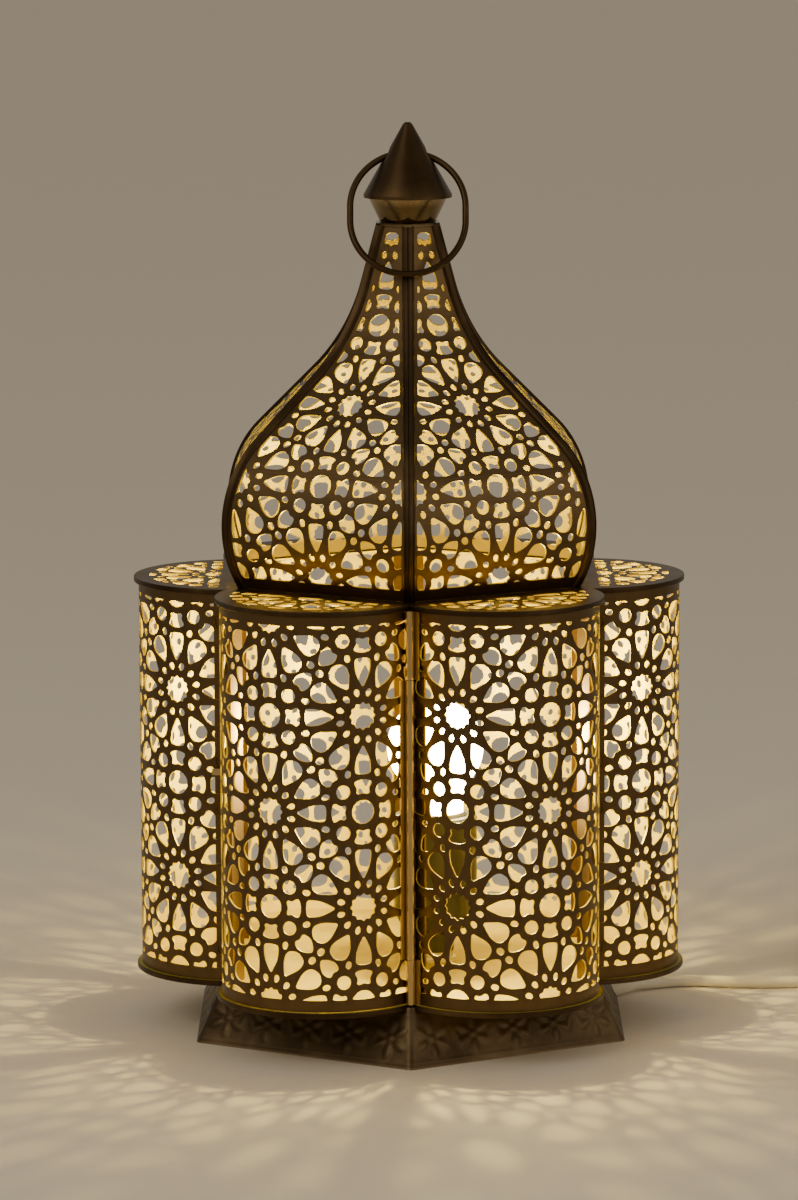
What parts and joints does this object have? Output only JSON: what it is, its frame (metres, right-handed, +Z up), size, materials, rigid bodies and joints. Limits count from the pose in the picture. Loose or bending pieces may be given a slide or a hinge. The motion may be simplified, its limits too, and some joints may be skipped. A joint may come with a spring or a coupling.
{
  "type": "moroccan metal lantern",
  "caption": "Electric table lantern of pierced brass sheet with rounded lobes, a flared hexagonal base, a hinged door, an onion dome, a cone finial and a ring handle.",
  "frame": {"origin": "centre of the face of the base that stands on the table", "axes": "+Z up along the lantern's axis, -Y towards the seam that carries the door's hinge, +X towards the side where the lead leaves"},
  "size_m": [0.4224, 0.284, 0.42],
  "materials": {
    "antique_brass": "antiqued, semi-matt",
    "bright_brass": "satin",
    "steel": "zinc plated",
    "black_plastic": "matt",
    "cream_plastic": "moulded satin",
    "cream_cord": "smooth vinyl sheath",
    "porcelain": "glazed insulator",
    "bulb_glass": "lit warm white glass",
    "filament": "glowing",
    "blue_core": "insulated core"
  },
  "bodies": {
    "lantern": {"base_shell": "antique_brass", "base_cover": "antique_brass", "cover_brackets": "steel", "cover_screws": "steel", "bottom_plate": "antique_brass", "lobe_front_right": "antique_brass", "lobe_right": "antique_brass", "lobe_rear_right": "antique_brass", "lobe_rear_left": "antique_brass", "lobe_left": "antique_brass", "hinge_knuckles": "bright_brass", "hinge_pin": "steel", "seam_front": "antique_brass", "seam_front_right": "antique_brass", "seam_rear_right": "antique_brass", "seam_rear": "antique_brass", "seam_rear_left": "antique_brass", "seam_front_left": "antique_brass", "top_plate": "antique_brass", "dome_front_right": "antique_brass", "dome_right": "antique_brass", "dome_rear_right": "antique_brass", "dome_rear_left": "antique_brass", "dome_left": "antique_brass", "dome_front_left": "antique_brass", "rib_front": "antique_brass", "rib_front_right": "antique_brass", "rib_rear_right": "antique_brass", "rib_rear": "antique_brass", "rib_rear_left": "antique_brass", "rib_front_left": "antique_brass", "neck_collar": "bright_brass", "finial_cone": "antique_brass", "threaded_tube": "steel", "lock_nuts": "steel", "tube_washer": "steel", "lampholder_cap": "black_plastic", "lampholder_body": "black_plastic", "lampholder_insert": "porcelain", "bulb_cap": "steel", "bulb_glass": "bulb_glass", "bulb_filament": "filament", "cord_grommet": "cream_cord", "lead_inside": "cream_cord", "cord_clamp": "black_plastic", "clamp_screws": "steel", "lead_cores": "blue_core", "cord_lead": "cream_cord", "switch_housing": "cream_plastic", "cord_tail": "cream_cord", "cord_coil": "cream_cord", "cord_tie": "black_plastic", "cord_end": "cream_cord", "plug_body": "cream_plastic", "plug_pins": "steel"},
    "door": {"door_panel": "antique_brass", "door_knuckle": "bright_brass", "door_latch": "bright_brass"},
    "ring": {"ring_handle": "antique_brass"},
    "rocker": {"switch_rocker": "black_plastic"}
  },
  "joints": [
    {"name": "door_swing", "type": "hinge", "parent": "lantern", "child": "door", "pos_m": [0, -0.098, 0.112], "axis": [0, 0, 1], "range_deg": [0, 95]},
    {"name": "ring_swing", "type": "hinge", "parent": "lantern", "child": "ring", "pos_m": [0, 0, 0.4044], "axis": [-1, 0, 0], "range_deg": [0, 307]},
    {"name": "switch_tilt", "type": "hinge", "parent": "lantern", "child": "rocker", "pos_m": [0.215, 0.109, 0.013], "axis": [-1, 0, 0], "range_deg": [0, 16]}
  ]
}
